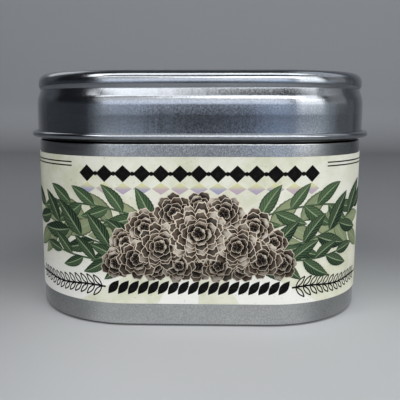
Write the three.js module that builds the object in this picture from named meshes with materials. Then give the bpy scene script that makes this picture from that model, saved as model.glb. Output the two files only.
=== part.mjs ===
// A square slip-lid tin with a paper label wrapped round it and powder inside.
//
// Millimetres, +Z up. The origin is the middle of the footprint on the standing surface, and -Y
// faces the front of the label. Every sheet-metal piece is a bent centreline, given the thickness
// of the sheet and swept round the rounded-square plan of the tin.
import * as THREE from "three";
import { ParametricGeometry } from "three/addons/geometries/ParametricGeometry.js";
import { mergeVertices } from "three/addons/utils/BufferGeometryUtils.js";

// Plan of the tin, measured on the outside of the body wall.
const BODY_WIDTH = 83;
const CORNER_RADIUS = 25.5;
const CORNER_CENTRE = BODY_WIDTH / 2 - CORNER_RADIUS;
const CORNER_STEPS = 9;
const BEND_STEPS = 3;
const QUARTER = Math.PI / 2;

const SHEET = 0.25;
const HALF_SHEET = SHEET / 2;

// Body: a drawn shell with a rounded bottom edge, a raised base panel and an inward rim curl.
const BODY_HEIGHT = 53;
const BASE_EDGE_RADIUS = 1.3;
const STANDING_RING_INSET = 7;
const BASE_PANEL_INSET = 8.5;
const BASE_PANEL_RISE = 0.8;
const BASE_BEND_RADIUS = 0.5;
const RIM_CURL_RADIUS = 0.72;
const RIM_CURL_TURN = 1.55 * Math.PI;
// The groove rolled into the wall under the lid's lower edge, as [inset, height, bend radius], and
// the neck above it, which the lid slides over.
const WALL_GROOVE = [[0, 42.6, 0.3], [0.5, 42.95, 0.3], [0.5, 44.3, 0.4], [0.15, 44.8, 0.4]];
const NECK_INSET = 0.15;

// Lid: its heights are measured from its own lower edge, and its insets from the body wall.
const LID_BOTTOM = 43.5;
const LID_HEIGHT = 15.5;
const LID_PANEL_RECESS = 1.2;
const LID_PANEL_INSET = 4.6;
const LID_CREST_INSET = 2.9;
const LID_STEP_RADIUS = 0.7;
const LID_BEAD_INSET = 0.05;
const LID_SHOULDER_RADIUS = 2.2;
const LID_GROOVE_INSET = 0.72;
const LID_GROOVE_HEIGHT = 11.6;
const LID_GROOVE_RADIUS = 0.9;
const LID_BEAD_FOOT = 12.3;
const LID_SKIRT_OUTSET = 0.4;
// The skirt leans out from the flank's foot and is upright from its middle down.
const LID_SKIRT_LEAN = [[0.2, 9.42, 0.6], [0.06, 8.2, 10], [0, 5.6, 30]];
const HEM_HEIGHT = 1.5;
const HEM_WIDTH = 1.7;
const HEM_TIP_ANGLE = 2.69 * Math.PI;

// Label: a paper strip that starts and ends, one end over the other, in the middle of the back.
const LABEL_BOTTOM = 5.6;
const LABEL_HEIGHT = 34.2;
const PAPER = 0.15;
const GLUE_GAP = 0.05;
const LABEL_OVERLAP = 8;
const LABEL_RAMP = 1.5;

// Powder: it fills about seven tenths of the body and is heaped a little in the middle.
const POWDER_CLEARANCE = 0.3;
const POWDER_LEVEL = 38;
const POWDER_HEAP = 1.2;
const POWDER_HEAP_INSET = 9;

// The corner centre and the outward direction of every column of vertices round the plan.
function planColumns() {
  const columns = [];
  for (let corner = 0; corner < 4; corner++) {
    const diagonal = (corner + 0.5) * QUARTER;
    const centre = new THREE.Vector2(Math.cos(diagonal), Math.sin(diagonal));
    centre.multiplyScalar(CORNER_CENTRE * Math.SQRT2);
    for (let step = 0; step <= CORNER_STEPS; step++) {
      const angle = (corner + step / CORNER_STEPS) * QUARTER;
      columns.push({ centre, out: new THREE.Vector2(Math.cos(angle), Math.sin(angle)) });
    }
  }
  return columns;
}

// Where a column meets the plan at an outset from the body wall.
function planPoint(column, outset) {
  return column.centre.clone().addScaledVector(column.out, CORNER_RADIUS + outset);
}

// Sweeps a profile of (outset, height) points round the plan. A ring's profile closes on itself;
// any other starts and ends with two points that are drawn in to the tin's axis.
function sweep(profile, isRing) {
  const columns = planColumns();
  const rows = isRing ? [...profile, profile[0]] : profile;
  const last = rows.length - 1;
  const place = (u, v, target) => {
    const column = columns[Math.round(u * columns.length) % columns.length];
    const row = Math.round(v * last);
    const isOnAxis = !isRing && (row === 0 || row === last);
    const plan = planPoint(column, rows[row].x).multiplyScalar(isOnAxis ? 0 : 1);
    target.set(plan.x, plan.y, rows[row].y);
  };
  return closedGeometry(new ParametricGeometry(place, columns.length, last));
}

// Joins the vertices that coincide, so that the surface closes on itself.
function closedGeometry(geometry) {
  geometry.deleteAttribute("normal");
  geometry.deleteAttribute("uv");
  const merged = mergeVertices(geometry);
  merged.computeVertexNormals();
  return merged;
}

// The points of an arc that rounds the corner `here` of the line before - here - after.
function bend(before, here, after, radius) {
  const back = before.clone().sub(here).normalize();
  const ahead = after.clone().sub(here).normalize();
  const halfAngle = Math.acos(back.dot(ahead)) / 2;
  const inward = back.clone().add(ahead).normalize();
  const centre = here.clone().addScaledVector(inward, radius / Math.sin(halfAngle));
  const reach = radius / Math.tan(halfAngle);
  const start = here.clone().addScaledVector(back, reach).sub(centre);
  const end = here.clone().addScaledVector(ahead, reach).sub(centre);
  const isClockwise = start.cross(end) < 0;
  const arc = new THREE.ArcCurve(
    centre.x, centre.y, radius, start.angle(), end.angle(), isClockwise,
  );
  return arc.getPoints(BEND_STEPS);
}

// A line through corners of [outset, height, bend radius]; its two ends have no bend.
function bentLine(corners) {
  const places = corners.map(([outset, height]) => new THREE.Vector2(outset, height));
  return corners.flatMap(([, , radius], i) =>
    radius ? bend(places[i - 1], places[i], places[i + 1], radius) : [places[i]],
  );
}

// The outline of a sheet that follows a centreline: one face out, the other face back.
function sheetProfile(centreline) {
  const last = centreline.length - 1;
  const offsets = centreline.map((_, i) => {
    const from = centreline[Math.max(i - 1, 0)];
    const to = centreline[Math.min(i + 1, last)];
    const along = to.clone().sub(from).normalize();
    return new THREE.Vector2(along.y, -along.x).multiplyScalar(HALF_SHEET);
  });
  const right = centreline.map((point, i) => point.clone().add(offsets[i]));
  const left = centreline.map((point, i) => point.clone().sub(offsets[i]));
  return [...right, ...left.reverse()];
}

// From the middle of the base outwards, up the wall and its neck, and over into the rim curl.
function bodyGeometry() {
  const wall = -HALF_SHEET;
  const panel = BASE_PANEL_RISE + HALF_SHEET;
  const curlRadius = RIM_CURL_RADIUS - HALF_SHEET;
  const curlHeight = BODY_HEIGHT - RIM_CURL_RADIUS;
  const neck = wall - NECK_INSET;
  const shell = bentLine([
    [-CORNER_RADIUS, panel],
    [-BASE_PANEL_INSET, panel, BASE_BEND_RADIUS],
    [-STANDING_RING_INSET, HALF_SHEET, BASE_BEND_RADIUS],
    [wall, HALF_SHEET, BASE_EDGE_RADIUS - HALF_SHEET],
    ...WALL_GROOVE.map(([inset, height, radius]) => [wall - inset, height, radius]),
    [neck, curlHeight],
  ]);
  const curl = new THREE.ArcCurve(neck - curlRadius, curlHeight, curlRadius, 0, RIM_CURL_TURN);
  return sweep(sheetProfile([...shell, ...curl.getPoints(2 * BEND_STEPS).slice(1)]), false);
}

// From the rolled hem up the skirt, over the groove and the shoulder to the middle of the panel.
function lidGeometry() {
  const skirt = LID_SKIRT_OUTSET - HALF_SHEET;
  const bead = -LID_BEAD_INSET - HALF_SHEET;
  const crest = LID_HEIGHT - HALF_SHEET;
  const panel = crest - LID_PANEL_RECESS;
  const hemReach = HEM_WIDTH / 2 - HALF_SHEET;
  const hemRise = HEM_HEIGHT / 2 - HALF_SHEET;
  const hem = new THREE.EllipseCurve(
    skirt + hemReach, HEM_HEIGHT / 2, hemReach, hemRise, Math.PI, HEM_TIP_ANGLE,
  );
  const shell = bentLine([
    [-CORNER_RADIUS, panel],
    [-LID_PANEL_INSET, panel, LID_STEP_RADIUS],
    [-LID_CREST_INSET, crest, LID_STEP_RADIUS],
    [bead, crest, LID_SHOULDER_RADIUS - HALF_SHEET],
    [bead, LID_BEAD_FOOT, LID_GROOVE_RADIUS],
    [-LID_GROOVE_INSET, LID_GROOVE_HEIGHT, LID_GROOVE_RADIUS / 2],
    ...LID_SKIRT_LEAN.map(([inset, height, radius]) => [skirt - inset, height, radius]),
    [skirt, HEM_HEIGHT / 2],
  ]);
  return sweep(sheetProfile([...shell, ...hem.getPoints(4 * BEND_STEPS).slice(1)]), false);
}

// The plan line of one face of the label: once round the tin from the middle of the back, then
// up over its own beginning to the end of the overlap.
function labelLine(outset) {
  const columns = planColumns();
  const backColumns = columns.slice(CORNER_STEPS + 1).concat(columns.slice(0, CORNER_STEPS + 1));
  const once = backColumns.map((column) => planPoint(column, outset));
  const back = BODY_WIDTH / 2 + outset;
  const step = PAPER + GLUE_GAP;
  return [
    new THREE.Vector2(0, back),
    ...once,
    new THREE.Vector2(LABEL_RAMP, back),
    new THREE.Vector2(0, back + step),
    new THREE.Vector2(-LABEL_OVERLAP, back + step),
  ];
}

function labelGeometry() {
  const outline = [...labelLine(GLUE_GAP), ...labelLine(GLUE_GAP + PAPER).reverse()];
  const plan = new THREE.Shape(outline);
  return closedGeometry(new THREE.ExtrudeGeometry(plan, { depth: LABEL_HEIGHT, bevelEnabled: false }));
}

// The powder follows the inside of the body, a little clear of it.
function powderGeometry() {
  const side = -SHEET - POWDER_CLEARANCE;
  const floor = SHEET + POWDER_CLEARANCE;
  const edge = BASE_EDGE_RADIUS + side;
  const profile = bentLine([
    [-CORNER_RADIUS, floor + BASE_PANEL_RISE],
    [-BASE_PANEL_INSET, floor + BASE_PANEL_RISE],
    [-STANDING_RING_INSET, floor],
    [side, floor, edge],
    [side, POWDER_LEVEL],
    [-POWDER_HEAP_INSET, POWDER_LEVEL + POWDER_HEAP],
    [-CORNER_RADIUS, POWDER_LEVEL + POWDER_HEAP],
  ]);
  return sweep(profile, false);
}

const TINPLATE = { color: 0xa9abad, roughness: 0.35, metalness: 1 };
const LABEL_PAPER = { color: 0xd9d6c6, roughness: 0.8, metalness: 0 };
const MUSHROOM_BROWN = { color: 0x8d765c, roughness: 0.95, metalness: 0 };

function namedMesh(name, geometry, finish, height = 0) {
  const mesh = new THREE.Mesh(geometry, new THREE.MeshStandardMaterial(finish));
  mesh.name = name;
  mesh.position.z = height;
  return mesh;
}

// The lid lifts straight off; everything else stays with the body.
const filledBody = new THREE.Group();
filledBody.add(
  namedMesh("tin_body", bodyGeometry(), TINPLATE),
  namedMesh("wrap_label", labelGeometry(), LABEL_PAPER, LABEL_BOTTOM),
  namedMesh("mushroom_powder", powderGeometry(), MUSHROOM_BROWN),
);

const tin = new THREE.Group();
tin.add(filledBody, namedMesh("tin_lid", lidGeometry(), TINPLATE, LID_BOTTOM));

export default tin;
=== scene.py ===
import math

import bpy
import numpy as np
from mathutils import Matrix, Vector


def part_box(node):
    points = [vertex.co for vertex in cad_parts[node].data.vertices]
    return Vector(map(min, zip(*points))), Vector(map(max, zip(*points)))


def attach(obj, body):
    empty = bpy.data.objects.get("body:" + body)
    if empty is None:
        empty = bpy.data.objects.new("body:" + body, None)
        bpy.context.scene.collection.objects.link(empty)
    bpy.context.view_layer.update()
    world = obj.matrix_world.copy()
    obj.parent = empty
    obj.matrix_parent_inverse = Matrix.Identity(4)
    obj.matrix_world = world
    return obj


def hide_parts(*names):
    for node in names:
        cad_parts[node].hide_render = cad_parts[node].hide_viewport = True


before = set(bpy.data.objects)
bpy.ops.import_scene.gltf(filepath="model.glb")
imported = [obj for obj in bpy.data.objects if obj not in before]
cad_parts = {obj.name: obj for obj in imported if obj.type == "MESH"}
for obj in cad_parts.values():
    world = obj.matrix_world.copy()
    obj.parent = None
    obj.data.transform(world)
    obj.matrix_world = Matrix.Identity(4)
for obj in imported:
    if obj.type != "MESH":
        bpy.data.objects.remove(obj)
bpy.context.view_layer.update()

# A slip-lid tin with a paper label round it, in metres, +Z up and the front of the label at -Y.
# Every sheet-metal piece is a bent centreline given the thickness of the sheet and carried round
# the rounded-square plan of the tin. Print is laid out on the flat label as (along, height), where
# along runs round the tin from the middle of the front, and is then wrapped onto the paper.

scene = bpy.context.scene
MM = 0.001

BODY_LOW, BODY_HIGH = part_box("tin_body")
LID_LOW, LID_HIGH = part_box("tin_lid")
LABEL_LOW, LABEL_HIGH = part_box("wrap_label")
POWDER_LOW, POWDER_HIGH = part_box("mushroom_powder")

# Plan of the tin, on the outside of the body wall
BODY_WIDTH = BODY_HIGH.x - BODY_LOW.x
CORNER_RADIUS = 25.5 * MM
CORNER_CENTRE = BODY_WIDTH / 2 - CORNER_RADIUS
SIDE_TO_SIDE = 2 * CORNER_CENTRE + CORNER_RADIUS * math.pi / 2
ROUND_THE_TIN = 4 * SIDE_TO_SIDE
COLUMNS_PER_CORNER = 28
COLUMNS_PER_SIDE = 8

# Sheet metal
SHEET = 0.25 * MM
HALF_SHEET = SHEET / 2
BEND_STEPS = 7
SHARP_EDGE = 40
# A panel: its rings, the reach of the smallest one, and the flat margin inside its bend
PANEL_RINGS = 7
PANEL_START = 0.06
PANEL_MARGIN = 2 * MM

BASE_BEND_RADIUS = 0.5 * MM
BASE_DOME = 0.15 * MM
BASE_EDGE_RADIUS = 1.3 * MM
STANDING_RING_INSET = 7 * MM
BASE_PANEL_INSET = 8.5 * MM
BASE_PANEL_RISE = 0.8 * MM
RIM_CURL_RADIUS = 0.72 * MM
RIM_CURL_TURN = 1.55 * math.pi
# The groove under the lid's lower edge, as (outset, height, bend radius), and the neck above it
GROOVE = np.array([(0, 42.6, 0.3), (-0.5, 42.95, 0.3), (-0.5, 44.3, 0.4), (-0.15, 44.8, 0.4)]) * MM
NECK_INSET = 0.15 * MM

LID_PANEL_RECESS = 1.2 * MM
LID_PANEL_INSET = 4.6 * MM
LID_CREST_INSET = 2.9 * MM
LID_STEP_RADIUS = 0.7 * MM
LID_BEAD_INSET = 0.05 * MM
LID_SHOULDER_RADIUS = 2.2 * MM
LID_GROOVE_INSET = 0.72 * MM
LID_GROOVE_HEIGHT = 11.6 * MM
LID_GROOVE_RADIUS = 0.9 * MM
LID_BEAD_FOOT = 12.3 * MM
LID_SKIRT_OUTSET = 0.4 * MM
# The flank's foot rounds into a skirt that leans out, then is upright: (outset, height, radius)
LID_SKIRT_LEAN = np.array([(-0.2, 9.42, 4.8), (-0.06, 8.2, 10), (0, 5.6, 30)]) * MM
HEM_HEIGHT = 1.5 * MM
HEM_WIDTH = 1.7 * MM
HEM_TIP_ANGLE = 2.69 * math.pi
LID_PANEL_DOME = 0.25 * MM

# Label
PAPER = 0.15 * MM
GLUE_GAP = 0.05 * MM
LABEL_OVERLAP = 8 * MM
LABEL_RAMP = 1.5 * MM
LABEL_OUTSET = GLUE_GAP + PAPER
INK_LIFT = 0.03 * MM
INK_STEP = 0.004 * MM
LABEL_STATIONS = 320
LABEL_ROWS = 12

# Powder
POWDER_CLEARANCE = 0.3 * MM
POWDER_HEAP = 1.2 * MM
# The regular share of the heap, and its lumps: how many waves, and their most radians a metre
HEAP_SHARE = 0.7
POWDER_WAVES = 14
POWDER_WAVE = 220
POWDER_LUMP = 0.045 * MM
POWDER_RINGS = 40
POWDER_START = 0.03
POWDER_SEED = 5

# Print, in mm on the flat label: (along, height) from the middle of the front and the table
BLADE_ACROSS = 7
# The share of its width that a pointed end keeps, so that no face there comes to nothing
BLUNT_TIP = 0.02

# Leaves: random ranges for their angle to the stem in radians, size, curl and tone
LEAF_SEED = 11
LEAF_ANGLES = (0.62, 0.86)
LEAF_SIZES = (0.85, 1.1)
LEAF_CURLS = (0.15, 0.5)
LEAF_TONES = (-0.09, 0.09)
LEAF_STEPS = 41
LEAF_TEETH = 10
LEAF_TOOTH_DEPTH = 0.09
# Powers of the outline: the first moves its widest place to the stalk, the second fills it out
LEAF_POWERS = (0.8, 0.85)
LEAF_WIDTH_SHARE = 0.4
STEM_WIDTH = 0.42
STEM_TONE = 0.32
STEM_STEPS = 24
# root, middle and tip of the stem, leaves, leaf length, tone from dark to sage, lift
SPRAYS = [
    ((9, 20), (26, 30), (39, 21.5), 8, 10.2, 0.95, 0),
    ((7, 23), (21, 30.5), (34, 28.2), 7, 8.4, 0.55, 5),
    ((10, 18), (26, 19), (42, 27), 8, 9.8, 0.08, 9),
    ((11, 18), (20, 14.5), (34, 17), 7, 7.6, 0.2, 14),
]

# Petals: random ranges for their turn in radians and their size, and the depth of their ripple
PETAL_SEED = 4
PETAL_TURNS = (-0.06, 0.06)
PETAL_SIZES = (0.93, 1.05)
PETAL_RIPPLE = 0.035
PETAL_ACROSS = 11
PETAL_ALONG = 9
PETALS_PER_MM = 1.75
FEWEST_PETALS = 5
# How far a petal covers its neighbours, and its width at the root as a share of that at the rim
PETAL_OVERLAP = 1.25
PETAL_ROOT_WIDTH = 0.75
# How much shorter its sides are, and its start as a share of the ring, or at the heart in mm
PETAL_ROUNDING = 0.3
PETAL_ROOT = 0.42
HEART = 0.05
# A ring's radius falls by this power on the way in, and is then this many mm more
RING_POWER = 0.9
SMALLEST_RING = 0.25
# along, height, radius, rings, lift
ROSETTES = [
    (16.9, 20.2, 3.4, 3, 18),
    (19.0, 15.3, 3.5, 3, 22),
    (12.4, 23.6, 4.4, 4, 21),
    (5.6, 27.0, 4.5, 4, 23),
    (0, 28.6, 3.4, 3, 19),
    (9.9, 14.4, 3.2, 3, 20),
    (0, 14.6, 3.6, 3, 24),
    (14.2, 16.3, 4.6, 4, 26),
    (4.6, 14.8, 3.9, 4, 28),
    (8.8, 19.3, 5.4, 5, 31),
    (0, 22.3, 7.0, 6, 37),
]

# Line work
PEN_WIDTH = 0.3
TOP_BAND_LENGTH = 51.5
TOP_BAND_MIDDLE = 36.0
TOP_BAND_HEIGHT = 3.9
LOZENGES = 13
LOZENGE_WIDTH = 4.1
PATCH_STEPS = 5
DOT_RADIUS = 0.5
DOT_STEPS = 7
# The pale echo of the lozenges under the band
ECHO_MIDDLE = 32.6
ECHO_HEIGHT = 2.7
# The heights between which an echo turns from its foot's colour to yellow
ECHO_BLEND = ((ECHO_MIDDLE - 0.2 * ECHO_HEIGHT) * MM, (ECHO_MIDDLE + 0.35 * ECHO_HEIGHT) * MM)
LOW_BAND_LENGTH = 39.5
LOW_BAND_MIDDLE = 9.5
LOW_BAND_HEIGHT = 3.3
ROPE_STRANDS = 18
ROPE_WIDTH = 1.95
ROPE_LEAN = 52
ROPE_STEPS = 13
SPRIG_ROOT = 21.6
SPRIG_REACH = 23.5
SPRIG_HEIGHT = 9.5
SPRIG_STEM_WIDTH = 1.4 * PEN_WIDTH
SPRIG_STEM_STEPS = 40
# The stem's sway: its height, and how many radians it makes from root to tip
SPRIG_SWAY = 0.25
SPRIG_SWAYS = 9
SPRIG_PAIRS = 12
# Where the leaves start and end on the stem, and their size: at the root, and its loss to the tip
SPRIG_SPAN = (0.04, 0.9)
SPRIG_LEAF = 3.2
SPRIG_TAPER = (1.05, 0.45)
SPRIG_LEAF_WIDTH = 0.95
SPRIG_LEAF_STEPS = 15
SPRIG_LEAN = 48
# Where each starts to either side, and its height; the last goes on from the sprig
HAIRLINES = ((30, 38.35), (30, 37.5), (SPRIG_ROOT + SPRIG_REACH, SPRIG_HEIGHT))
# How far the lines round the tin stop short of the middle of the back
BACK_GAP = 10
PANEL_SIZE = (32, 21)
PANEL_LOW = 13.5
PANEL_FRAME_WIDTH = 1.3 * PEN_WIDTH
PANEL_STEPS = 12
RULED_LINES = 6
RULED_WIDTH = 0.7 * PEN_WIDTH
RULED_INDENT = 2

# Paper and ink: pattern sizes in mm on the flat label
RAY_CENTRE_HEIGHT = 22
RAYS_ROUND = 6
# The rays weaken between these heights
RAY_FADE = (7, 20)
STAIN_SIZE = 5.5
FLECK_SIZE = 0.75
# Fibres are drawn coarser than they are, so that they show
FIBRE_SIZE = 0.25
FIBRE_DEPTH = 0.02 * MM
PAPER_SHEEN = {"Roughness": 0.62, "IOR": 1.5, "Specular IOR Level": 0.35}
INK_SHEEN = {"Roughness": 0.7, "IOR": 1.5, "Specular IOR Level": 0.12}
INK_WEAR = 0.6 * MM
VEINS = 8
VEIN_SLANT = 2.3
PETAL_RIBS = 9
# Where a petal's rim starts and is full, as a share of its length
PETAL_RIM = (0.9, 0.945)
# The garland is darker from the first height down to the second
GARLAND_SHADE = (21 * MM, 10 * MM)

# Tinplate finish: its lines and grain are drawn coarser than they are, so that they show
DRAW_LINE_PITCH = 0.35 * MM
DRAW_LINE_STRETCH = 0.08
GRAIN_PITCH = 0.3 * MM
FLUTE_PITCH = 2.4 * MM
# How the waviness is drawn out: up and down the lid, and round the body
LID_WAVES = (1, 1, 0.05)
BODY_WAVES = (0.1, 0.1, 1)
FLUTE_DEPTH = 0.03 * MM
CLOUD_PITCH = 9 * MM
GRAIN_DEPTH = 0.004 * MM
GLOSS_SPREAD = 0.03
# Painted shade on the body and the lid, under the lid's hem and round the foot: middle height,
# half height, and the distance where it ends
BODY_PAINTED_SHADE = np.array([(43.4, 0.65, 0.9), (0, 0.3, 0.6)]) * MM
LID_PAINTED_SHADE = np.array([(43.3, 0.2, 0.6)]) * MM
PAINTED_SHADE_STRENGTH = 0.9
# Where the painted shade on the corners starts and is full, as a product of the two distances from
# the middle
CORNER_ZONE = (900 * MM**2, 1140 * MM**2)
# roughness, grain strength, tone, tone of the specks, painted shade, painted corner shade, waves
# Both are one tinplate: the body's paler tone is painted light on its reflections, the lid's darker
# one painted shade
BODY_FINISH = (0.22, 0.55, "#B0B2B2", "#DADBDA", BODY_PAINTED_SHADE, 0.52, BODY_WAVES)
LID_FINISH = (0.155, 0.4, "#90949A", "#A6AAAE", LID_PAINTED_SHADE, 0, LID_WAVES)

# Ground mushroom
CRUMB_SIZE = 0.35 * MM
CRUMB_HEIGHT = 0.3 * MM
CLUMP_SIZE = 4 * MM

# Studio
SWEEP_FRONT = -2.5
SWEEP_BACK = 0.48
SWEEP_RADIUS = 0.06
SWEEP_TOP = 1.2
SWEEP_HALF_WIDTH = 1.1
SWEEP_STEPS = 16
# The painted pool of light: its middle, the shortening of its front, and how far out it fades
POOL = (0.012, -0.06)
POOL_STRETCH = 0.45
PAPER_FADE = (0.02, 0.115)
# The heights between which the painted floor turns to the wall's painted grey
WALL_FADE = (-0.03, 0.045)
# How much of a softbox's width lies between the lines where its light is down to half
SOFTBOX_SPREAD = 0.75
# name, place, aim, size, power in watts, colour where it isn't white
SOFTBOXES = [
    ("overhead_softbox", (0, -0.26, 0.61), (0, 0, 0.05), (0.9, 0.22), 1.95),
    ("upper_front_left_strip", (-0.235, -0.51, 0.42), (-0.235, 0, 0.05), (0.45, 0.09), 0.42),
    ("upper_front_right_strip", (0.225, -0.53, 0.325), (0.225, 0, 0.05), (0.45, 0.12), 0.84),
    ("upper_right_fill", (0.5, 0, 0.6), (0, 0, 0.05), (0.55, 0.55), 0.75, "#F4F8FF"),
    ("upper_left_strip", (-0.42, -0.33, 0.58), (0, 0, 0.05), (0.15, 0.3), 0.42),
    ("key_softbox", (0.62, -0.55, 0.385), (0, 0, 0.03), (0.44, 0.32), 1.05),
    ("low_key_softbox", (0.75, -0.62, 0.2), (0, 0, 0.03), (0.55, 0.2), 0.75),
    ("front_strip", (-0.07, -1.0, 0.215), (-0.07, 0, 0.05), (1.24, 0.16), 1.12, "#EAF1FF"),
    ("front_fill", (-0.12, -0.85, 0.37), (-0.12, 0, 0.05), (1.2, 0.24), 1.12),
    ("right_fill", (0.85, -0.05, 0.3), (0, 0, 0.03), (0.4, 0.4), 0.18),
    ("rear_fill", (-0.4, 0.4, 0.5), (0, 0, 0.03), (0.35, 0.35), 0.35),
]
# The dim room: degrees round from straight ahead of the tin (right is positive), tone at eye level
ROOM = [
    (-180, "#7A7D80"), (-105, "#4A4D51"), (-55, "#42464C"), (-31, "#AEB6C0"), (-7, "#B2BDCE"),
    (-2.2, "#0E1722"), (3.6, "#101A26"), (9, "#9DB0D0"), (66, "#BAC4CC"), (92, "#6C7074"),
    (180, "#9A9C9E"),
]
# The dark ceiling starts and is full at these degrees up from level
ROOM_EDGE = (4, 10)
# How far back a direction leans, of 1, where that ceiling starts to be paler and is palest
REAR_ZONE = (0.05, 0.35)

# Camera
SENSOR = 36
CAMERA_LENS = 51.71
CAMERA_NEAR = 10 * MM
CAMERA_SHIFT = 0.05
CAMERA_PLACE = (-0.9 * MM, -169.76 * MM, 50.65 * MM)
CAMERA_TILT = 9.12
CAMERA_PAN = 1.51

# Node kinds and settings. Inputs 0 to 4 of a Map Range are its value, the range that comes in and
# the range that goes out, which is 0 to 1 where it isn't given. A Mix of colours has its share as
# input 0 and its colours as inputs 6 and 7, and input 3 of a Mapping is its scale.
MATH = "ShaderNodeMath"
MIX = "ShaderNodeMix"
RANGE = "ShaderNodeMapRange"
NOISE = "ShaderNodeTexNoise"
BUMP = "ShaderNodeBump"
AXES = "ShaderNodeSeparateXYZ"
COORDS = "ShaderNodeTexCoord"
MAPPING = "ShaderNodeMapping"
SURFACE = "ShaderNodeBsdfPrincipled"
SUBTRACT = {"operation": "SUBTRACT"}
MULTIPLY = {"operation": "MULTIPLY"}
MULTIPLY_ADD = {"operation": "MULTIPLY_ADD"}
ABSOLUTE = {"operation": "ABSOLUTE"}
MAXIMUM = {"operation": "MAXIMUM"}
PINGPONG = {"operation": "PINGPONG"}
RGBA = {"data_type": "RGBA"}
SMOOTH = {"interpolation_type": "SMOOTHSTEP"}


# ------ shapes

def direction(angle):
    """The way that an angle points, as (x, y)."""
    return np.stack([np.cos(angle), np.sin(angle)], -1)


def left_of(way):
    """A way turned a quarter to the left."""
    return np.stack([-way[..., 1], way[..., 0]], -1)


def unit(way):
    """A way made one long."""
    return way / np.linalg.norm(way, axis=-1, keepdims=True)


def on_plan(along, outset):
    """Places round the tin, as an array of (x, y).

    along is a length on the body wall from the middle of the front, towards +X first. Each quarter
    of the way round is a straight side and then a quarter circle about the corner's own centre,
    and outset is how far outside the body wall the place is.
    """
    along, outset = np.broadcast_arrays(along, outset)
    quarter, way = np.divmod(along + CORNER_CENTRE, SIDE_TO_SIDE)
    bend = np.clip(way - 2 * CORNER_CENTRE, 0, None) / CORNER_RADIUS
    straight = np.clip(way, 0, 2 * CORNER_CENTRE) - CORNER_CENTRE
    x = straight + (CORNER_RADIUS + outset) * np.sin(bend)
    y = -CORNER_CENTRE - (CORNER_RADIUS + outset) * np.cos(bend)
    ahead = direction(quarter * math.pi / 2)
    return x[..., None] * ahead + y[..., None] * left_of(ahead)


def columns_round():
    """Lengths round the tin where a swept surface has its columns: close in the corners."""
    side = np.linspace(0, 2 * CORNER_CENTRE, COLUMNS_PER_SIDE, endpoint=False)
    corner = np.linspace(2 * CORNER_CENTRE, SIDE_TO_SIDE, COLUMNS_PER_CORNER, endpoint=False)
    quarter = np.concatenate([side, corner]) - CORNER_CENTRE
    return (np.arange(4)[:, None] * SIDE_TO_SIDE + quarter).ravel()


def grid_faces(rows, columns, wrap_rows=False, wrap_columns=False):
    """Quads of a grid of vertices; a wrapped direction joins its end to its start."""
    grid = np.arange(rows * columns).reshape(rows, columns)
    right = np.roll(grid, -1, 1)
    quads = np.dstack([grid, right, np.roll(right, -1, 0), np.roll(grid, -1, 0)])
    return quads[:rows - 1 + wrap_rows, :columns - 1 + wrap_columns].reshape(-1, 4)


def make_piece(name, points, faces, caps=()):
    """An object of grid points and their quads; each cap is a ring closed by one flat face."""
    mesh = bpy.data.meshes.new(name)
    polygons = faces.tolist() + [cap.tolist() for cap in caps]
    mesh.from_pydata(points.reshape(-1, 3).tolist(), [], polygons)
    mesh.update()
    mesh.shade_smooth()
    mesh.set_sharp_from_angle(angle=math.radians(SHARP_EDGE))
    piece = bpy.data.objects.new(name, mesh)
    scene.collection.objects.link(piece)
    return piece


def bend_arc(before, corner, after, radius):
    """Points of the arc of that radius that touches both lines which meet at the corner."""
    back, ahead = unit(before - corner), unit(after - corner)
    half = math.acos(float(back @ ahead)) / 2
    centre = corner + unit(back + ahead) * radius / math.sin(half)
    start = corner + back * radius / math.tan(half) - centre
    end = corner + ahead * radius / math.tan(half) - centre
    first = math.atan2(start[1], start[0])
    turn = math.atan2(start[0] * end[1] - start[1] * end[0], float(start @ end))
    return centre + radius * direction(first + turn * np.linspace(0, 1, BEND_STEPS))


def bent_line(corners):
    """A line through (outset, height, bend radius) corners, with an arc at each but the ends."""
    places = np.array([corner[:2] for corner in corners])
    arcs = [
        bend_arc(places[i - 1], places[i], places[i + 1], corners[i][2])
        for i in range(1, len(corners) - 1)
    ]
    return np.concatenate([places[:1], *arcs, places[-1:]])


def ellipse_arc(centre, reach, rise, start, end, steps):
    """Points of an ellipse about the centre from one angle to another, without the first."""
    return centre + direction(np.linspace(start, end, steps + 1)[1:]) * [reach, rise]


def sheet_outline(centreline):
    """Both faces of a sheet on its centreline: the right-hand face out, the left-hand one back."""
    left = left_of(unit(np.gradient(centreline, axis=0))) * HALF_SHEET
    return centreline - left, (centreline + left)[::-1]


def panel_rings(edge, dome):
    """Rows of (outset, height, reach) that lead from near the axis out to a panel's edge.

    The reach shrinks the panel's outline towards the axis, and the height rises by the dome's
    parabola as the reach falls.
    """
    reach = np.linspace(PANEL_START, 1, PANEL_RINGS, endpoint=False)
    height = edge[1] + dome * (1 - reach**2)
    return np.column_stack(np.broadcast_arrays(edge[0], height, reach))


def swept_shell(name, centreline, dome):
    """A shell: both faces of the bent sheet carried round the tin, from its panel's middle."""
    right, left = sheet_outline(centreline)
    faces = [np.column_stack([side, np.ones(len(side))]) for side in (right, left)]
    start, end = panel_rings(right[0], dome), panel_rings(left[-1], dome)[::-1]
    return swept_piece(name, carried_round(np.concatenate([start, *faces, end])))


def carried_round(rows):
    """A grid of places: rows of (outset, height, reach), each carried round the tin."""
    plan = on_plan(columns_round()[None, :], rows[:, :1]) * rows[:, 2][:, None, None]
    return np.dstack([plan, np.broadcast_to(rows[:, 1:2], plan.shape[:2])])


def swept_piece(name, points):
    """A grid that goes all the way round, with its first and last rows closed at the axis."""
    rows, columns = points.shape[:2]
    ring = np.arange(columns)
    faces = grid_faces(rows, columns, wrap_columns=True)
    return make_piece(name, points, faces, [ring[::-1], (rows - 1) * columns + ring])


# ------ the metal and what is inside

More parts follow.
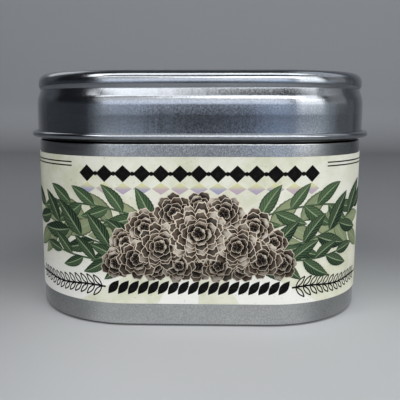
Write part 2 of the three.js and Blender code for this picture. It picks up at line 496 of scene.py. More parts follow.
def make_body():
    """The drawn body: base panel, standing ring, bottom edge, wall, groove, neck and rim curl."""
    wall = -HALF_SHEET
    panel = BASE_PANEL_RISE + HALF_SHEET
    curl = RIM_CURL_RADIUS - HALF_SHEET
    curl_height = BODY_HIGH.z - RIM_CURL_RADIUS
    neck = wall - NECK_INSET
    shell = bent_line([
        (-BASE_PANEL_INSET - PANEL_MARGIN, panel),
        (-BASE_PANEL_INSET, panel, BASE_BEND_RADIUS),
        (-STANDING_RING_INSET, HALF_SHEET, BASE_BEND_RADIUS),
        (wall, HALF_SHEET, BASE_EDGE_RADIUS - HALF_SHEET),
        *(GROOVE + [wall, 0, 0]),
        (neck, curl_height),
    ])
    centre = np.array([neck - curl, curl_height])
    rim = ellipse_arc(centre, curl, curl, 0, RIM_CURL_TURN, 3 * BEND_STEPS)
    return swept_shell("drawn_body", np.concatenate([shell, rim]), BASE_DOME)


def make_lid():
    """The lid: recessed panel, raised rim, shoulder, groove, skirt and the hem rolled outwards."""
    bottom = LID_LOW.z
    skirt = LID_SKIRT_OUTSET - HALF_SHEET
    bead = -LID_BEAD_INSET - HALF_SHEET
    crest = LID_HIGH.z - HALF_SHEET
    panel = crest - LID_PANEL_RECESS
    shell = bent_line([
        (-LID_PANEL_INSET - PANEL_MARGIN, panel),
        (-LID_PANEL_INSET, panel, LID_STEP_RADIUS),
        (-LID_CREST_INSET, crest, LID_STEP_RADIUS),
        (bead, crest, LID_SHOULDER_RADIUS - HALF_SHEET),
        (bead, bottom + LID_BEAD_FOOT, LID_GROOVE_RADIUS),
        (-LID_GROOVE_INSET, bottom + LID_GROOVE_HEIGHT, LID_GROOVE_RADIUS / 2),
        *(LID_SKIRT_LEAN + [skirt, bottom, 0]),
        (skirt, bottom + HEM_HEIGHT / 2),
    ])
    reach, rise = HEM_WIDTH / 2 - HALF_SHEET, HEM_HEIGHT / 2 - HALF_SHEET
    centre = np.array([skirt + reach, bottom + HEM_HEIGHT / 2])
    hem = ellipse_arc(centre, reach, rise, math.pi, HEM_TIP_ANGLE, 5 * BEND_STEPS)
    return swept_shell("slip_lid", np.concatenate([shell, hem]), LID_PANEL_DOME)


def make_powder():
    """Ground mushroom: it follows the inside of the body, and its top is an uneven heap.

    The top's height is the level plus the heap and a sum of plane waves. Both are full in the
    middle and fall, as the fourth power of the reach, to nothing at the wall.
    """
    inset = -SHEET - POWDER_CLEARANCE
    floor = SHEET + POWDER_CLEARANCE
    level = POWDER_HIGH.z - POWDER_HEAP
    side = bent_line([
        (-BASE_PANEL_INSET, floor + BASE_PANEL_RISE),
        (-STANDING_RING_INSET, floor, BASE_BEND_RADIUS),
        (inset, floor, BASE_EDGE_RADIUS + inset),
        (inset, level),
    ])
    side = np.column_stack([side, np.ones(len(side))])
    reach = np.linspace(1, POWDER_START, POWDER_RINGS)[1:]
    top = np.column_stack(np.broadcast_arrays(inset, level, reach))
    points = carried_round(np.concatenate([panel_rings(side[0], 0), side, top]))
    heap = points[-len(reach):]
    draw = np.random.default_rng(POWDER_SEED)
    waves = draw.uniform(-1, 1, (POWDER_WAVES, 3)) * [POWDER_WAVE, POWDER_WAVE, math.pi]
    lumps = np.sin(heap[..., :2] @ waves[:, :2].T + waves[:, 2]).sum(-1)
    fade = 1 - reach[:, None] ** 4
    heap[..., 2] += fade * (POWDER_HEAP * HEAP_SHARE + POWDER_LUMP * lumps)
    return swept_piece("ground_mushroom", points)


# ------ the paper label

def make_label():
    """A strip of paper carried once round the tin and on over its own beginning.

    Its section is a rectangle, and its outset rises by one thickness of paper, along a smooth
    step, just before it meets its own start in the middle of the back.
    """
    turn = ROUND_THE_TIN / 2
    along = np.linspace(-turn, turn + LABEL_OVERLAP, LABEL_STATIONS)
    step = np.clip((along - turn + LABEL_RAMP) / LABEL_RAMP, 0, 1)
    lift = LABEL_OUTSET * step**2 * (3 - 2 * step)
    low, high = LABEL_LOW.z, LABEL_HIGH.z
    outer = np.broadcast_arrays(LABEL_OUTSET, np.linspace(low, high, LABEL_ROWS))
    section = np.concatenate([np.column_stack(outer), [[GLUE_GAP, high], [GLUE_GAP, low]]])
    plan = on_plan(along[None, :], section[:, :1] + lift[None, :])
    points = np.dstack([plan, np.broadcast_to(section[:, 1:], plan.shape[:2])])
    rows, columns = plan.shape[:2]
    faces = grid_faces(rows, columns, wrap_rows=True)
    ends = np.arange(rows) * columns
    caps = [ends, (ends + columns - 1)[::-1]]
    piece = make_piece("paper_label", points, faces, caps)
    flat = np.dstack(np.broadcast_arrays(along, section[:, 1:]))
    give_uv(piece.data, "flat_mm", flat.reshape(-1, 2) / MM)
    return piece


def give_uv(mesh, name, places):
    """A UV map with one place for each vertex."""
    layer = mesh.uv_layers.new(name=name)
    corners = np.empty(len(mesh.loops), dtype=np.int32)
    mesh.loops.foreach_get("vertex_index", corners)
    layer.uv.foreach_set("vector", places[corners].ravel())


# ------ the print, laid out in mm

def stroke(line, width):
    """A pen line: the points (n, steps, 2) widened to both sides of their direction of travel."""
    left = left_of(unit(np.gradient(line, axis=1)))
    side = np.array([-0.5, 0.5])[:, None, None]
    return line[:, None] + side * width * left[:, None]


def level_row(start, end, count, height):
    """Places in a level row, evenly spaced."""
    return np.stack([np.linspace(start, end, count), np.full(count, height)], -1)


def blade(base, heading, length, width, curl, outline):
    """Leaf-shaped patches (n, across, along, 2) about a parabola that leaves base on its heading.

    outline gives the half width, as a share of the width, for each step along.
    """
    length, width, curl = (
        np.broadcast_to(value, heading.shape)[:, None, None] for value in (length, width, curl)
    )
    u = np.linspace(0, 1, len(outline))[:, None]
    ahead = direction(heading)[:, None]
    left = left_of(ahead)
    spine = base[:, None] + length * (u * ahead + 0.5 * curl * u**2 * left)
    edge = unit(left - curl * u * ahead) * width * outline[:, None] / 2
    v = np.linspace(-1, 1, BLADE_ACROSS)[:, None, None]
    return spine[:, None] + v * edge[:, None]


def unit_grid(rows, columns):
    """UV places of a patch: u from 0 to 1 along it and v from -1 to 1 across it."""
    u, v = np.linspace(0, 1, columns), np.linspace(-1, 1, rows)[:, None]
    return np.dstack(np.broadcast_arrays(u, v))


def make_print(name, layers):
    """Ink on the label: patches of flat places, each a little above the one it overprints.

    A layer is (places (n, rows, columns, 2), lift in ink steps (n), tone (n)).
    """
    points, faces, uvs, tones = [], [], [], []
    count = 0
    for places, lift, tone in layers:
        patches, rows, columns = places.shape[:3]
        lift = np.broadcast_to(lift, patches)[:, None, None]
        flat = places * MM
        plan = on_plan(flat[..., 0], LABEL_OUTSET + INK_LIFT + INK_STEP * lift)
        points.append(np.concatenate([plan, flat[..., 1:]], -1).reshape(-1, 3))
        one = grid_faces(rows, columns)[None] + np.arange(patches)[:, None, None] * rows * columns
        faces.append(one.reshape(-1, 4) + count)
        uvs.append(np.broadcast_to(unit_grid(rows, columns), places.shape).reshape(-1, 2))
        tones.append(np.repeat(np.broadcast_to(tone, patches), rows * columns))
        count += patches * rows * columns
    piece = make_piece(name, np.concatenate(points), np.concatenate(faces))
    give_uv(piece.data, "patch", np.concatenate(uvs))
    layer = piece.data.attributes.new("tone", "FLOAT", "POINT")
    layer.data.foreach_set("value", np.concatenate(tones).astype(np.float32))
    return piece


def leaf_outline():
    """Half width of a lance-shaped leaf with a finely toothed edge, from stalk to tip."""
    u = np.linspace(0, 1, LEAF_STEPS)
    teeth = 1 - LEAF_TOOTH_DEPTH * (u * LEAF_TEETH % 1)
    place, fill = LEAF_POWERS
    return np.maximum(np.sin(math.pi * u**place) ** fill * teeth, BLUNT_TIP)


def lens_outline(steps):
    """Half width of a plain pointed oval."""
    return np.maximum(np.sin(math.pi * np.linspace(0, 1, steps)), BLUNT_TIP)


def curve_points(line, steps):
    """A quadratic curve from root to tip, and its direction of travel as an angle."""
    root, middle, tip = line
    t = np.linspace(0, 1, steps)[:, None]
    place = (1 - t) ** 2 * root + 2 * t * (1 - t) * middle + t**2 * tip
    along = 2 * (1 - t) * (middle - root) + 2 * t * (tip - middle)
    return place, np.arctan2(along[:, 1], along[:, 0])


def spray(line, leaves, length, tone, lift, draw):
    """One stem with leaves set along it by turns left and right, and one leaf at its tip."""
    stem = curve_points(line, STEM_STEPS)[0]
    place, way = curve_points(line, leaves + 2)
    number = np.arange(leaves + 1)
    side = np.where(number % 2, 1, -1) * (number < leaves)
    heading = way[1:] + side * draw.uniform(*LEAF_ANGLES, leaves + 1)
    size = length * draw.uniform(*LEAF_SIZES, leaves + 1)
    curl = -side * draw.uniform(*LEAF_CURLS, leaves + 1)
    shade = np.clip(tone + draw.uniform(*LEAF_TONES, leaves + 1), 0, 1)
    patches = blade(place[1:], heading, size, size * LEAF_WIDTH_SHARE, curl, leaf_outline())
    return (patches, lift + number / 2, shade), (stroke(stem[None], STEM_WIDTH), lift, STEM_TONE)


def print_leaves():
    """Four sprays to each side: sage behind, dark green above and below it."""
    draw = np.random.default_rng(LEAF_SEED)
    layers = []
    for mirror in (-1, 1):
        for *line, leaves, length, tone, lift in SPRAYS:
            layers += spray(np.array(line) * [mirror, 1], leaves, length, tone, lift, draw)
    return make_print("label_leaves", layers)


def rosette(centre, radius, rings, lift, draw):
    """Rings of overlapping fan-shaped petals, from the widest ring in to the heart.

    A petal's place is the centre plus its reach times its direction: the reach runs from the
    ring's inner radius to its outer one, less at the petal's sides, with a ripple on its rim,
    and the direction fans out to the petal's full angle as the reach grows.
    """
    layers = []
    across = np.linspace(-1, 1, PETAL_ACROSS)[None, :, None]
    out = np.linspace(0, 1, PETAL_ALONG)[None, None, :]
    for ring in range(rings):
        outer = radius * (1 - ring / rings) ** RING_POWER + SMALLEST_RING
        petals = max(FEWEST_PETALS, round(outer * PETALS_PER_MM))
        share = math.pi / petals * PETAL_OVERLAP
        angle = (np.arange(petals) + 0.5 * (ring % 2)) * 2 * math.pi / petals
        angle = (angle + draw.uniform(*PETAL_TURNS, petals))[:, None, None]
        size = draw.uniform(*PETAL_SIZES, petals)[:, None, None]
        start = draw.uniform(0, 6, petals)[:, None, None]
        ripple = PETAL_RIPPLE * np.cos(math.pi * 3 * across + start)
        rim = 1 - PETAL_ROUNDING * across**2 + ripple
        inner = outer * PETAL_ROOT if ring < rings - 1 else HEART
        reach = inner + (outer * size * rim - inner) * out
        turn = angle + across * share * (PETAL_ROOT_WIDTH + (1 - PETAL_ROOT_WIDTH) * out)
        places = centre + reach[..., None] * direction(turn)
        tone = draw.uniform(0, 1, petals)
        order = lift + ring + 0.5 * (np.arange(petals) % 2)
        layers.append((places[:, ::-1], order, tone))
    return layers


def print_rosettes():
    """A garland of rosettes: a large one in the middle, smaller ones behind it to each side."""
    draw = np.random.default_rng(PETAL_SEED)
    layers = []
    for x, y, radius, rings, lift in ROSETTES:
        for mirror in ((-1, 1) if x else (1,)):
            layers += rosette((x * mirror, y), radius, rings, lift, draw)
    return make_print("label_rosettes", layers)


def lozenge_row():
    """Black lozenges with a small round dot between each two."""
    centre, lozenges = lozenge_places(TOP_BAND_MIDDLE, TOP_BAND_HEIGHT)
    dots = (centre[1:] + centre[:-1]) / 2
    return [(lozenges, 0, 0), (discs(dots), 0, 0)]


def lozenge_places(height, tall):
    """The middles of a level row of lozenges, and the lozenges as patches."""
    end = TOP_BAND_LENGTH / 2
    centre = level_row(-end, end, LOZENGES, height)
    u, v = np.meshgrid([-1, 1], [-1, 1])
    shape = np.stack([(u - v) * LOZENGE_WIDTH / 4, (u + v) * tall / 4], -1)
    return centre, subdivide(centre[:, None, None] + shape)


def print_echo():
    """Flatter lozenges under the band, as if it were mirrored in the paper, in seven tones."""
    lozenges = lozenge_places(ECHO_MIDDLE, ECHO_HEIGHT)[1]
    tone = np.arange(LOZENGES) * 5 % 7 / 6
    return make_print("label_echo", [(orient(lozenges), 0, tone)])


def subdivide(quads):
    """Four-cornered patches as grids of places, so that they bend with the paper."""
    t = np.linspace(0, 1, PATCH_STEPS)[:, None]
    rows = quads[:, :1] * (1 - t[..., None]) + quads[:, 1:] * t[..., None]
    return rows[:, :, :1] * (1 - t) + rows[:, :, 1:] * t


def discs(centres):
    """Round patches: a square grid whose every ring of places is drawn out to a circle."""
    u = np.linspace(-1, 1, DOT_STEPS)
    v = u[:, None]
    round_place = np.dstack([u * np.sqrt(1 - v**2 / 2), v * np.sqrt(1 - u**2 / 2)])
    return centres[:, None, None] + DOT_RADIUS * round_place


def rope_row():
    """A cable border: pointed ovals that all lean the same way."""
    end = LOW_BAND_LENGTH / 2
    heading = np.full(ROPE_STRANDS, math.radians(ROPE_LEAN))
    reach = LOW_BAND_HEIGHT / np.sin(heading)
    base = level_row(-end, end, ROPE_STRANDS, LOW_BAND_MIDDLE)
    base -= direction(heading) * reach[:, None] / 2
    return [(blade(base, heading, reach, ROPE_WIDTH, 0, lens_outline(ROPE_STEPS)), 0, 0)]


def stem_place(mirror, share):
    """Places on a sprig's stem: level, with a slight sway that is the sine of the way along it."""
    along = mirror * (SPRIG_ROOT + SPRIG_REACH * share)
    return np.stack([along, SPRIG_HEIGHT + SPRIG_SWAY * np.sin(share * SPRIG_SWAYS)], -1)


def sprig(mirror):
    """A line-drawn sprig: a stem with pairs of leaves in outline, which lean away from its root."""
    stem = stem_place(mirror, np.linspace(0, 1, SPRIG_STEM_STEPS))
    share = np.linspace(*SPRIG_SPAN, SPRIG_PAIRS)
    foot = stem_place(mirror, share)[:, None]
    size = SPRIG_LEAF * (SPRIG_TAPER[0] - SPRIG_TAPER[1] * share)
    half = lens_outline(SPRIG_LEAF_STEPS) * SPRIG_LEAF_WIDTH / 2
    u = np.linspace(0, 1, SPRIG_LEAF_STEPS)
    loop = np.stack([np.append(u, u[::-1]), np.append(half, -half[::-1])], -1)
    layers = [(stroke(stem[None], SPRIG_STEM_WIDTH), 0, 0)]
    for side in (-1, 1):
        ahead = direction(side * math.radians(SPRIG_LEAN)) * [mirror, 1]
        outline = foot + loop[:, :1] * size[:, None, None] * ahead + loop[:, 1:] * left_of(ahead)
        layers.append((stroke(outline, PEN_WIDTH), 0.5, 0))
    return layers


def level_line(start, end, height, width):
    """A level line of ink from one length round the tin to another."""
    return stroke(level_row(start, end, max(2, int(abs(end - start))), height)[None], width)


def side_panel(middle):
    """A plain framed panel with ruled lines, as on a label that is written on by hand."""
    half, low, high = PANEL_SIZE[0] / 2, PANEL_LOW, PANEL_LOW + PANEL_SIZE[1]
    left, right = middle - half, middle + half
    lines = [level_line(left, right, y, PANEL_FRAME_WIDTH) for y in (low, high)]
    for x in (left, right):
        upright = level_row(low, high, PANEL_STEPS, x)[:, ::-1]
        lines.append(stroke(upright[None], PANEL_FRAME_WIDTH))
    for y in np.linspace(low, high, RULED_LINES + 2)[1:-1]:
        lines.append(level_line(left + RULED_INDENT, right - RULED_INDENT, y, RULED_WIDTH))
    return [(line, 0, 0) for line in lines]


def print_lines():
    """All in black ink: two bands, hairlines round the tin, sprigs and side panels."""
    end = ROUND_THE_TIN / MM / 2 - BACK_GAP
    layers = lozenge_row() + rope_row()
    for mirror in (-1, 1):
        for start, height in HAIRLINES:
            layers.append((level_line(start * mirror, end * mirror, height, PEN_WIDTH), 0, 0))
        layers += sprig(mirror) + side_panel(mirror * SIDE_TO_SIDE / MM)
    layers = [(orient(places), lift, tone) for places, lift, tone in layers]
    return make_print("label_line_work", layers)


def orient(places):
    """Turns round each patch that faces the paper, by the sign of the area of its grid."""
    across = places[:, -1, 0] - places[:, 0, 0]
    along = places[:, 0, 1] - places[:, 0, 0]
    facing = along[:, 0] * across[:, 1] - along[:, 1] * across[:, 0]
    return np.where((facing < 0)[:, None, None, None], places[:, ::-1], places)


# ------ materials

def linear(colour):
    """An sRGB hex colour as linear RGBA."""
    parts = [int(colour[i:i + 2], 16) / 255 for i in (1, 3, 5)]
    return [c / 12.92 if c <= 0.04045 else ((c + 0.055) / 1.055) ** 2.4 for c in parts] + [1]


def add(tree, kind, inputs=None, settings=None):
    """Adds a node with its settings, and gives each input a value, a hex colour or a link.

    A link is another node's output, or that node itself for its first output in use.
    """
    made = tree.nodes.new(kind)
    for name, value in (settings or {}).items():
        setattr(made, name, value)
    for key, value in (inputs or {}).items():
        if isinstance(value, bpy.types.Node):
            value = next(output for output in value.outputs if output.enabled)
        if isinstance(value, bpy.types.NodeSocket):
            tree.links.new(value, made.inputs[key])
        else:
            made.inputs[key].default_value = linear(value) if isinstance(value, str) else value
    return made


def empty_tree(owner):
    """The node tree of a material, a light or a world, with nothing in it yet."""
    owner.use_nodes = True
    owner.node_tree.nodes.clear()
    return owner.node_tree


def new_material(name, paint, *finish):
    """A material whose surface is the node that the paint function gives back."""
    made = bpy.data.materials.new(name)
    tree = empty_tree(made)
    add(tree, "ShaderNodeOutputMaterial", {0: paint(tree, *finish)})
    return made


def drawn_tinplate(tree, roughness, grain_strength, tone, pale, painted_shade, corner_shade, waves):
    """Drawn tinplate: pressed steel sheet with a thin coat of tin.

    It mirrors softly. The press leaves fine upright draw lines, and the tin has a faint crystal
    sparkle, so that its gloss breaks up from one grain to the next. Its tone is darker round the
    corners, a painted shade on the reflections there, and nearly black bands of painted shade lie
    in the gap under the lid and round the foot.
    """
    place = add(tree, COORDS).outputs["Object"]
    upright = add(tree, MAPPING, {0: place, 3: (1, 1, DRAW_LINE_STRETCH)})
    lines = add(tree, NOISE, {
        "Vector": upright, "Scale": 1 / DRAW_LINE_PITCH, "Detail": 3, "Roughness": 0.6,
    })
    grain = add(tree, NOISE, {
        "Vector": place, "Scale": 1 / GRAIN_PITCH, "Detail": 2, "Roughness": 0.7,
    })
    cloud = add(tree, NOISE, {"Vector": place, "Scale": 1 / CLOUD_PITCH, "Detail": 4})
    low, high = roughness - GLOSS_SPREAD, roughness + GLOSS_SPREAD
    rough = add(tree, RANGE, {0: grain, 1: 0.3, 2: 0.7, 3: low, 4: high})
    fine = add(tree, MATH, {0: cloud, 1: 0.4, 2: grain}, MULTIPLY_ADD)
    speck = add(tree, RANGE, {0: fine, 1: 0.5, 2: 0.9})
    x, y, z = add(tree, AXES, {0: place}).outputs
    cross = add(tree, MATH, {0: x, 1: y}, MULTIPLY)
    nearness = add(tree, MATH, {0: cross}, ABSOLUTE)
    # Painted shade: the tone darkens round the corners
    outer, inner = CORNER_ZONE
    corner_shade_share = add(tree, RANGE, {0: nearness, 1: outer, 2: inner, 4: corner_shade}, SMOOTH)
    layers = [(speck, pale), (corner_shade_share, "#5C5E60")]
    # Painted shade: nearly black bands in the gap under the lid's hem and round the foot
    for middle, full, gone in painted_shade:
        gap = add(tree, MATH, {0: z, 1: middle}, SUBTRACT)
        off = add(tree, MATH, {0: gap}, ABSOLUTE)
        shade_share = add(tree, RANGE, {0: off, 1: gone, 2: full, 4: PAINTED_SHADE_STRENGTH}, SMOOTH)
        layers.append((shade_share, "#2E2E2C"))
    for share, over in layers:
        tone = add(tree, MIX, {0: share, 6: tone, 7: over}, RGBA)
    drawn = add(tree, MAPPING, {0: place, 3: waves})
    flute = add(tree, NOISE, {"Vector": drawn, "Scale": 1 / FLUTE_PITCH, "Detail": 2})
    broad = add(tree, BUMP, {"Strength": 1, "Distance": FLUTE_DEPTH, "Height": flute})
    both = add(tree, MATH, {0: lines, 1: grain}, {"operation": "ADD"})
    bump = add(tree, BUMP, {
        "Strength": grain_strength, "Distance": GRAIN_DEPTH, "Height": both, "Normal": broad,
    })
    return add(tree, SURFACE, {
        "Base Color": tone, "Metallic": 1, "Roughness": rough, "Normal": bump,
    })


def printed_parchment(tree):
    """Matt label paper, printed all over as aged parchment with broad pale rays and flecks.

    The rays turn about a point in the garland: pale where the sine of so many times the angle
    round it is above nothing, and stronger towards the foot of the label.
    """
    flat = add(tree, "ShaderNodeUVMap", {}, {"uv_map": "flat_mm"})
    along, height = add(tree, AXES, {0: flat}).outputs[:2]
    above = add(tree, MATH, {0: height, 1: RAY_CENTRE_HEIGHT}, SUBTRACT)
    angle = add(tree, MATH, {0: above, 1: along}, {"operation": "ARCTAN2"})
    rays = add(tree, MATH, {0: angle, 1: RAYS_ROUND}, MULTIPLY)
    wave = add(tree, MATH, {0: rays}, {"operation": "SINE"})
    low, high = RAY_FADE
    strength = add(tree, RANGE, {0: height, 1: low, 2: high, 3: 0.9, 4: 0.3}, SMOOTH)
    pale = add(tree, RANGE, {0: wave, 1: -0.08, 2: 0.08, 4: strength}, SMOOTH)
    stain = add(tree, NOISE, {
        "Vector": flat, "Scale": 1 / STAIN_SIZE, "Detail": 4, "Roughness": 0.6,
    })
    stained = add(tree, RANGE, {0: stain, 1: 0.38, 2: 0.66}, SMOOTH)
    fleck = add(tree, NOISE, {
        "Vector": flat, "Scale": 1 / FLECK_SIZE, "Detail": 2, "Roughness": 0.7,
    })
    flecked = add(tree, RANGE, {0: fleck, 1: 0.62, 2: 0.76, 4: 0.55}, SMOOTH)
    tone = "#E2E1CF"
    for share, over in ((stained, "#D4D5BB"), (pale, "#F0EFE9"), (flecked, "#9C9A80")):
        tone = add(tree, MIX, {0: share, 6: tone, 7: over}, RGBA)
    fibre = add(tree, NOISE, {"Vector": flat, "Scale": 1 / FIBRE_SIZE, "Detail": 2})
    bump = add(tree, BUMP, {"Strength": 0.15, "Distance": FIBRE_DEPTH, "Height": fibre})
    return add(tree, SURFACE, {"Base Color": tone, "Normal": bump, **PAPER_SHEEN})


def patch_inputs(tree):
    """What a print patch knows of itself: along, across, how far off its middle line, and tone."""
    patch = add(tree, "ShaderNodeUVMap", {}, {"uv_map": "patch"})
    along, side = add(tree, AXES, {0: patch}).outputs[:2]
    tone = add(tree, "ShaderNodeAttribute", {}, {"attribute_name": "tone"}).outputs["Fac"]
    return along, side, add(tree, MATH, {0: side}, ABSOLUTE), tone


def leaf_ink(tree):
    """Green offset ink: an engraved leaf with a pale midrib, fine side veins and a dark edge."""
    along, side, off, tone = patch_inputs(tree)
    slant = add(tree, MATH, {0: off, 1: -VEIN_SLANT}, MULTIPLY)
    order = add(tree, MATH, {0: along, 1: VEINS, 2: slant}, MULTIPLY_ADD)
    saw = add(tree, MATH, {0: order, 1: 0.5}, PINGPONG)
    vein = add(tree, RANGE, {0: saw, 1: 0.1, 2: 0.02, 4: 0.4}, SMOOTH)
    midrib = add(tree, RANGE, {0: off, 1: 0.13, 2: 0.04, 4: 0.85}, SMOOTH)
    lines = add(tree, MATH, {0: vein, 1: midrib}, MAXIMUM)
    middling = add(tree, RANGE, {0: tone, 1: 0, 2: 0.5})
    sage = add(tree, RANGE, {0: tone, 1: 0.6, 2: 1.1})
    lit_half = add(tree, RANGE, {0: side, 1: -0.3, 2: 0.3, 4: 0.22}, SMOOTH)
    edge = add(tree, RANGE, {0: off, 1: 0.7, 2: 1.0, 4: 0.75}, SMOOTH)
    tone = "#12261B"
    for share, over in (
        (middling, "#374E33"), (sage, "#A3A983"), (lit_half, "#6C835F"), (lines, "#93A582"),
        (edge, "#16261C"),
    ):
        tone = add(tree, MIX, {0: share, 6: tone, 7: over}, RGBA)
    return add(tree, SURFACE, {"Base Color": tone, **INK_SHEEN})


def petal_ink(tree):
    """Brown offset ink: an engraved petal, dark at its root, with a cream rim.

    The paler petals have a pale bloom in their middle, and the ink is laid on thicker towards
    the foot of the garland.
    """
    along, side, off, tone = patch_inputs(tree)
    brown = add(tree, MIX, {0: tone, 6: "#2E2118", 7: "#6A523A"}, RGBA)
    outer = add(tree, RANGE, {0: along, 1: 0.34, 2: 0.96}, SMOOTH)
    ribs = add(tree, MATH, {0: side, 1: PETAL_RIBS / 2}, MULTIPLY)
    rib = add(tree, MATH, {0: ribs, 1: 0.5}, PINGPONG)
    ribbed = add(tree, RANGE, {0: rib, 1: 0.05, 2: 0.3, 3: 0.6, 4: 0}, SMOOTH)
    bloom = add(tree, RANGE, {0: tone, 1: 0.55, 2: 0.95, 3: 0.1, 4: 0.85}, SMOOTH)
    middle = add(tree, RANGE, {0: along, 1: 0.5, 2: 0.75}, SMOOTH)
    narrow = add(tree, RANGE, {0: off, 1: 0.7, 2: 0.1}, SMOOTH)
    spot = add(tree, MATH, {0: middle, 1: narrow}, MULTIPLY)
    bloomed = add(tree, MATH, {0: bloom, 1: spot}, MULTIPLY)
    start, full = PETAL_RIM
    flank = add(tree, MATH, {0: off, 1: full}, MULTIPLY)
    near_rim = add(tree, MATH, {0: along, 1: flank}, MAXIMUM)
    rim = add(tree, RANGE, {0: near_rim, 1: start, 2: full}, SMOOTH)
    height = add(tree, AXES, {0: add(tree, COORDS).outputs["Object"]}).outputs[2]
    high, low = GARLAND_SHADE
    foot = add(tree, RANGE, {0: height, 1: high, 2: low, 4: 0.5}, SMOOTH)
    tone = "#0E0A08"
    for share, over in (
        (outer, brown), (ribbed, "#1C1612"), (bloomed, "#D2CABC"), (rim, "#DBCFBC"),
        (foot, "#120D0A"),
    ):
        tone = add(tree, MIX, {0: share, 6: tone, 7: over}, RGBA)
    return add(tree, SURFACE, {"Base Color": tone, **INK_SHEEN})


def black_ink(tree):
    """Black offset ink, a little uneven where the paper shows through it."""
    place = add(tree, COORDS).outputs["Object"]
    worn = add(tree, NOISE, {"Vector": place, "Scale": 1 / INK_WEAR, "Detail": 2})
    thin = add(tree, RANGE, {0: worn, 1: 0.45, 2: 0.8}, SMOOTH)
    tone = add(tree, MIX, {0: thin, 6: "#050404", 7: "#1A1816"}, RGBA)
    return add(tree, SURFACE, {"Base Color": tone, **INK_SHEEN})


def pastel_ink(tree):
    """Thin process inks: pale yellow at the top of each echo, running into lavender or rose."""
    tone = add(tree, "ShaderNodeAttribute", {}, {"attribute_name": "tone"}).outputs["Fac"]
    foot = add(tree, MIX, {0: tone, 6: "#A5A2BC", 7: "#C0ACB4"}, RGBA)
    height = add(tree, AXES, {0: add(tree, COORDS).outputs["Object"]}).outputs[2]
    low, high = ECHO_BLEND
    rise = add(tree, RANGE, {0: height, 1: low, 2: high}, SMOOTH)
    tone = add(tree, MIX, {0: rise, 6: foot, 7: "#D6D6A2"}, RGBA)
    return add(tree, SURFACE, {"Base Color": tone, **INK_SHEEN})


def ground_mushroom(tree):
    """Finely ground dried mushroom: matt, mid brown, with paler and darker crumbs."""
    place = add(tree, COORDS).outputs["Object"]
    crumb = add(tree, "ShaderNodeTexVoronoi", {"Vector": place, "Scale": 1 / CRUMB_SIZE})
    clump = add(tree, NOISE, {"Vector": place, "Scale": 1 / CLUMP_SIZE, "Detail": 5})
    tint = add(tree, "ShaderNodeSeparateColor", {0: crumb.outputs["Color"]})
    tone = "#7A6248"
    for share, over in ((tint, "#A58E6E"), (clump, "#8C7458")):
        tone = add(tree, MIX, {0: share, 6: tone, 7: over}, RGBA)
    height = add(tree, MATH, {0: crumb, 1: clump}, {"operation": "ADD"})
    bump = add(tree, BUMP, {"Strength": 0.8, "Distance": CRUMB_HEIGHT, "Height": height})
    return add(tree, SURFACE, {"Base Color": tone, "Roughness": 0.95, "Normal": bump})


def studio_paper(tree):
    """Matt background paper with painted light: a pale pool round the front of the tin, grey away
    from it.

    The fade goes by the distance from the pool's middle, with the part towards the camera
    shortened, and the wall at the back is painted a paler grey.
    """
    x, y, z = add(tree, AXES, {0: add(tree, COORDS).outputs["Object"]}).outputs
    side = add(tree, MATH, {0: x, 1: POOL[0]}, SUBTRACT)
    back = add(tree, MATH, {0: y, 1: POOL[1]}, SUBTRACT)
    front = add(tree, MATH, {0: back, 1: -POOL_STRETCH}, MULTIPLY)
    either = add(tree, MATH, {0: back, 1: front}, MAXIMUM)
    away = add(tree, "ShaderNodeCombineXYZ", {0: side, 1: either})
    far = add(tree, "ShaderNodeVectorMath", {0: away}, {"operation": "LENGTH"})
    # Painted light: pale in the pool, fading to grey away from it, and a paler grey up the wall
    tone = "#D3D5D6"
    for reach, (start, full), over in ((far, PAPER_FADE, "#747678"), (z, WALL_FADE, "#A0A2A5")):
        share = add(tree, RANGE, {0: reach, 1: start, 2: full}, SMOOTH)
        tone = add(tree, MIX, {0: share, 6: tone, 7: over}, RGBA)
    return add(tree, SURFACE, {"Base Color": tone, "Roughness": 0.9})


# ------ studio

def make_studio():
    """A sweep of background paper: flat floor, a bend behind the tin, then an upright wall."""
    bend = np.linspace(0, math.pi / 2, SWEEP_STEPS)
    back, up = SWEEP_BACK + SWEEP_RADIUS * np.sin(bend), SWEEP_RADIUS * (1 - np.cos(bend))
    y = np.array([SWEEP_FRONT, *back, SWEEP_BACK + SWEEP_RADIUS])[:, None]
    z = np.array([0, *up, SWEEP_TOP])[:, None]
    points = np.dstack(np.broadcast_arrays([-SWEEP_HALF_WIDTH, SWEEP_HALF_WIDTH], y, z))
    sweep = make_piece("background_paper", points, grid_faces(len(y), 2))
    sweep.data.materials.append(new_material("paper_with_painted_light", studio_paper))


def make_softbox(name, place, aim, size, power, colour="#FFFFFF"):
    """A rectangular soft light that faces the aim.

    Its glow is the product of two smooth fades, one for each direction: full in the middle, and
    nothing at the edge.
    """
    data = bpy.data.lights.new(name, "AREA")
    data.shape = "RECTANGLE"
    data.size, data.size_y = (side / SOFTBOX_SPREAD for side in size)
    data.energy = power / SOFTBOX_SPREAD**2
    data.color = linear(colour)[:3]
    tree = empty_tree(data)
    spot = add(tree, "ShaderNodeNewGeometry").outputs["Parametric"]
    glow = 1
    for side in add(tree, AXES, {0: spot}).outputs[:2]:
        middle = add(tree, MATH, {0: side, 1: 0.5}, SUBTRACT)
        off = add(tree, MATH, {0: middle}, ABSOLUTE)
        fade = add(tree, RANGE, {0: off, 1: 0.5, 2: SOFTBOX_SPREAD - 0.5}, SMOOTH)
        glow = add(tree, MATH, {0: glow, 1: fade}, MULTIPLY)
    emission = add(tree, "ShaderNodeEmission", {"Strength": glow})
    add(tree, "ShaderNodeOutputLight", {0: emission})
    light = bpy.data.objects.new(name, data)
    light.location = place
    away = Vector(place) - Vector(aim)
    light.rotation_euler = away.to_track_quat("Z", "Y").to_euler()
    scene.collection.objects.link(light)


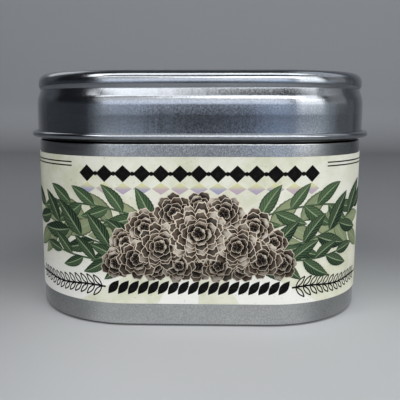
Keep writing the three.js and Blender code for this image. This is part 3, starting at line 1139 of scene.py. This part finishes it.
def make_room():
    """The dim room round the studio: paler at eye level to the right, dark above."""
    world = bpy.data.worlds.new("dim_room")
    scene.world = world
    tree = empty_tree(world)
    x, y, z = add(tree, AXES, {0: add(tree, COORDS).outputs["Generated"]}).outputs
    ahead = add(tree, MATH, {0: y, 1: -1}, MULTIPLY)
    round_it = add(tree, MATH, {0: x, 1: ahead}, {"operation": "ARCTAN2"})
    share = add(tree, RANGE, {0: round_it, 1: -math.pi, 2: math.pi})
    ramp = add(tree, "ShaderNodeValToRGB", {0: share})
    ramp.color_ramp.interpolation = "EASE"
    stops = ramp.color_ramp.elements
    while len(stops) < len(ROOM):
        stops.new(0.5)
    # In two goes, because a stop that moves past another one changes places with it
    for stop, (degrees, _) in zip(stops, ROOM):
        stop.position = 0.5 + degrees / 360
    for stop, (_, colour) in zip(stops, ROOM):
        stop.color = linear(colour)
    up = add(tree, MATH, {0: z}, {"operation": "ARCSINE"})
    low, high = np.radians(ROOM_EDGE)
    above = add(tree, RANGE, {0: up, 1: low, 2: high}, SMOOTH)
    start, full = REAR_ZONE
    rear = add(tree, RANGE, {0: y, 1: start, 2: full}, SMOOTH)
    ceiling = add(tree, MIX, {0: rear, 6: "#26282B", 7: "#63666A"}, RGBA)
    tone = add(tree, MIX, {0: above, 6: ramp, 7: ceiling}, RGBA)
    glow = add(tree, "ShaderNodeBackground", {0: tone})
    add(tree, "ShaderNodeOutputWorld", {0: glow})


def make_camera():
    """A camera just in front of the tin, a little above the hem, tilted down."""
    data = bpy.data.cameras.new("camera")
    data.sensor_width = SENSOR
    data.lens = CAMERA_LENS
    data.shift_x = CAMERA_SHIFT
    data.clip_start = CAMERA_NEAR
    camera = bpy.data.objects.new("camera", data)
    camera.location = CAMERA_PLACE
    camera.rotation_euler = (math.radians(90 - CAMERA_TILT), 0, math.radians(CAMERA_PAN))
    scene.collection.objects.link(camera)
    scene.camera = camera


# ------ putting it together

# What makes each piece, its material's name, paint function and finish, its slot, and the CAD
# node it stands for, if any
for make, name, paint, finish, slot, *nodes in (
    (make_body, "body_tinplate", drawn_tinplate, BODY_FINISH, "tinplate", "tin_body"),
    (make_lid, "lid_tinplate", drawn_tinplate, LID_FINISH, "tinplate", "tin_lid"),
    (make_powder, "ground_mushroom", ground_mushroom, (), "mushroom_powder", "mushroom_powder"),
    (make_label, "printed_parchment", printed_parchment, (), "label_paper", "wrap_label"),
    (print_leaves, "green_leaf_ink", leaf_ink, (), "label_paper"),
    (print_rosettes, "brown_petal_ink", petal_ink, (), "label_paper"),
    (print_echo, "pastel_process_ink", pastel_ink, (), "label_paper"),
    (print_lines, "black_ink", black_ink, (), "label_paper"),
):
    piece = make()
    piece.data.materials.append(new_material(name, paint, *finish))
    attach(piece, "root")
    if nodes:
        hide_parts(*nodes)

make_studio()
make_room()
for softbox in SOFTBOXES:
    make_softbox(*softbox)
make_camera()
scene.view_settings.view_transform = "Standard"
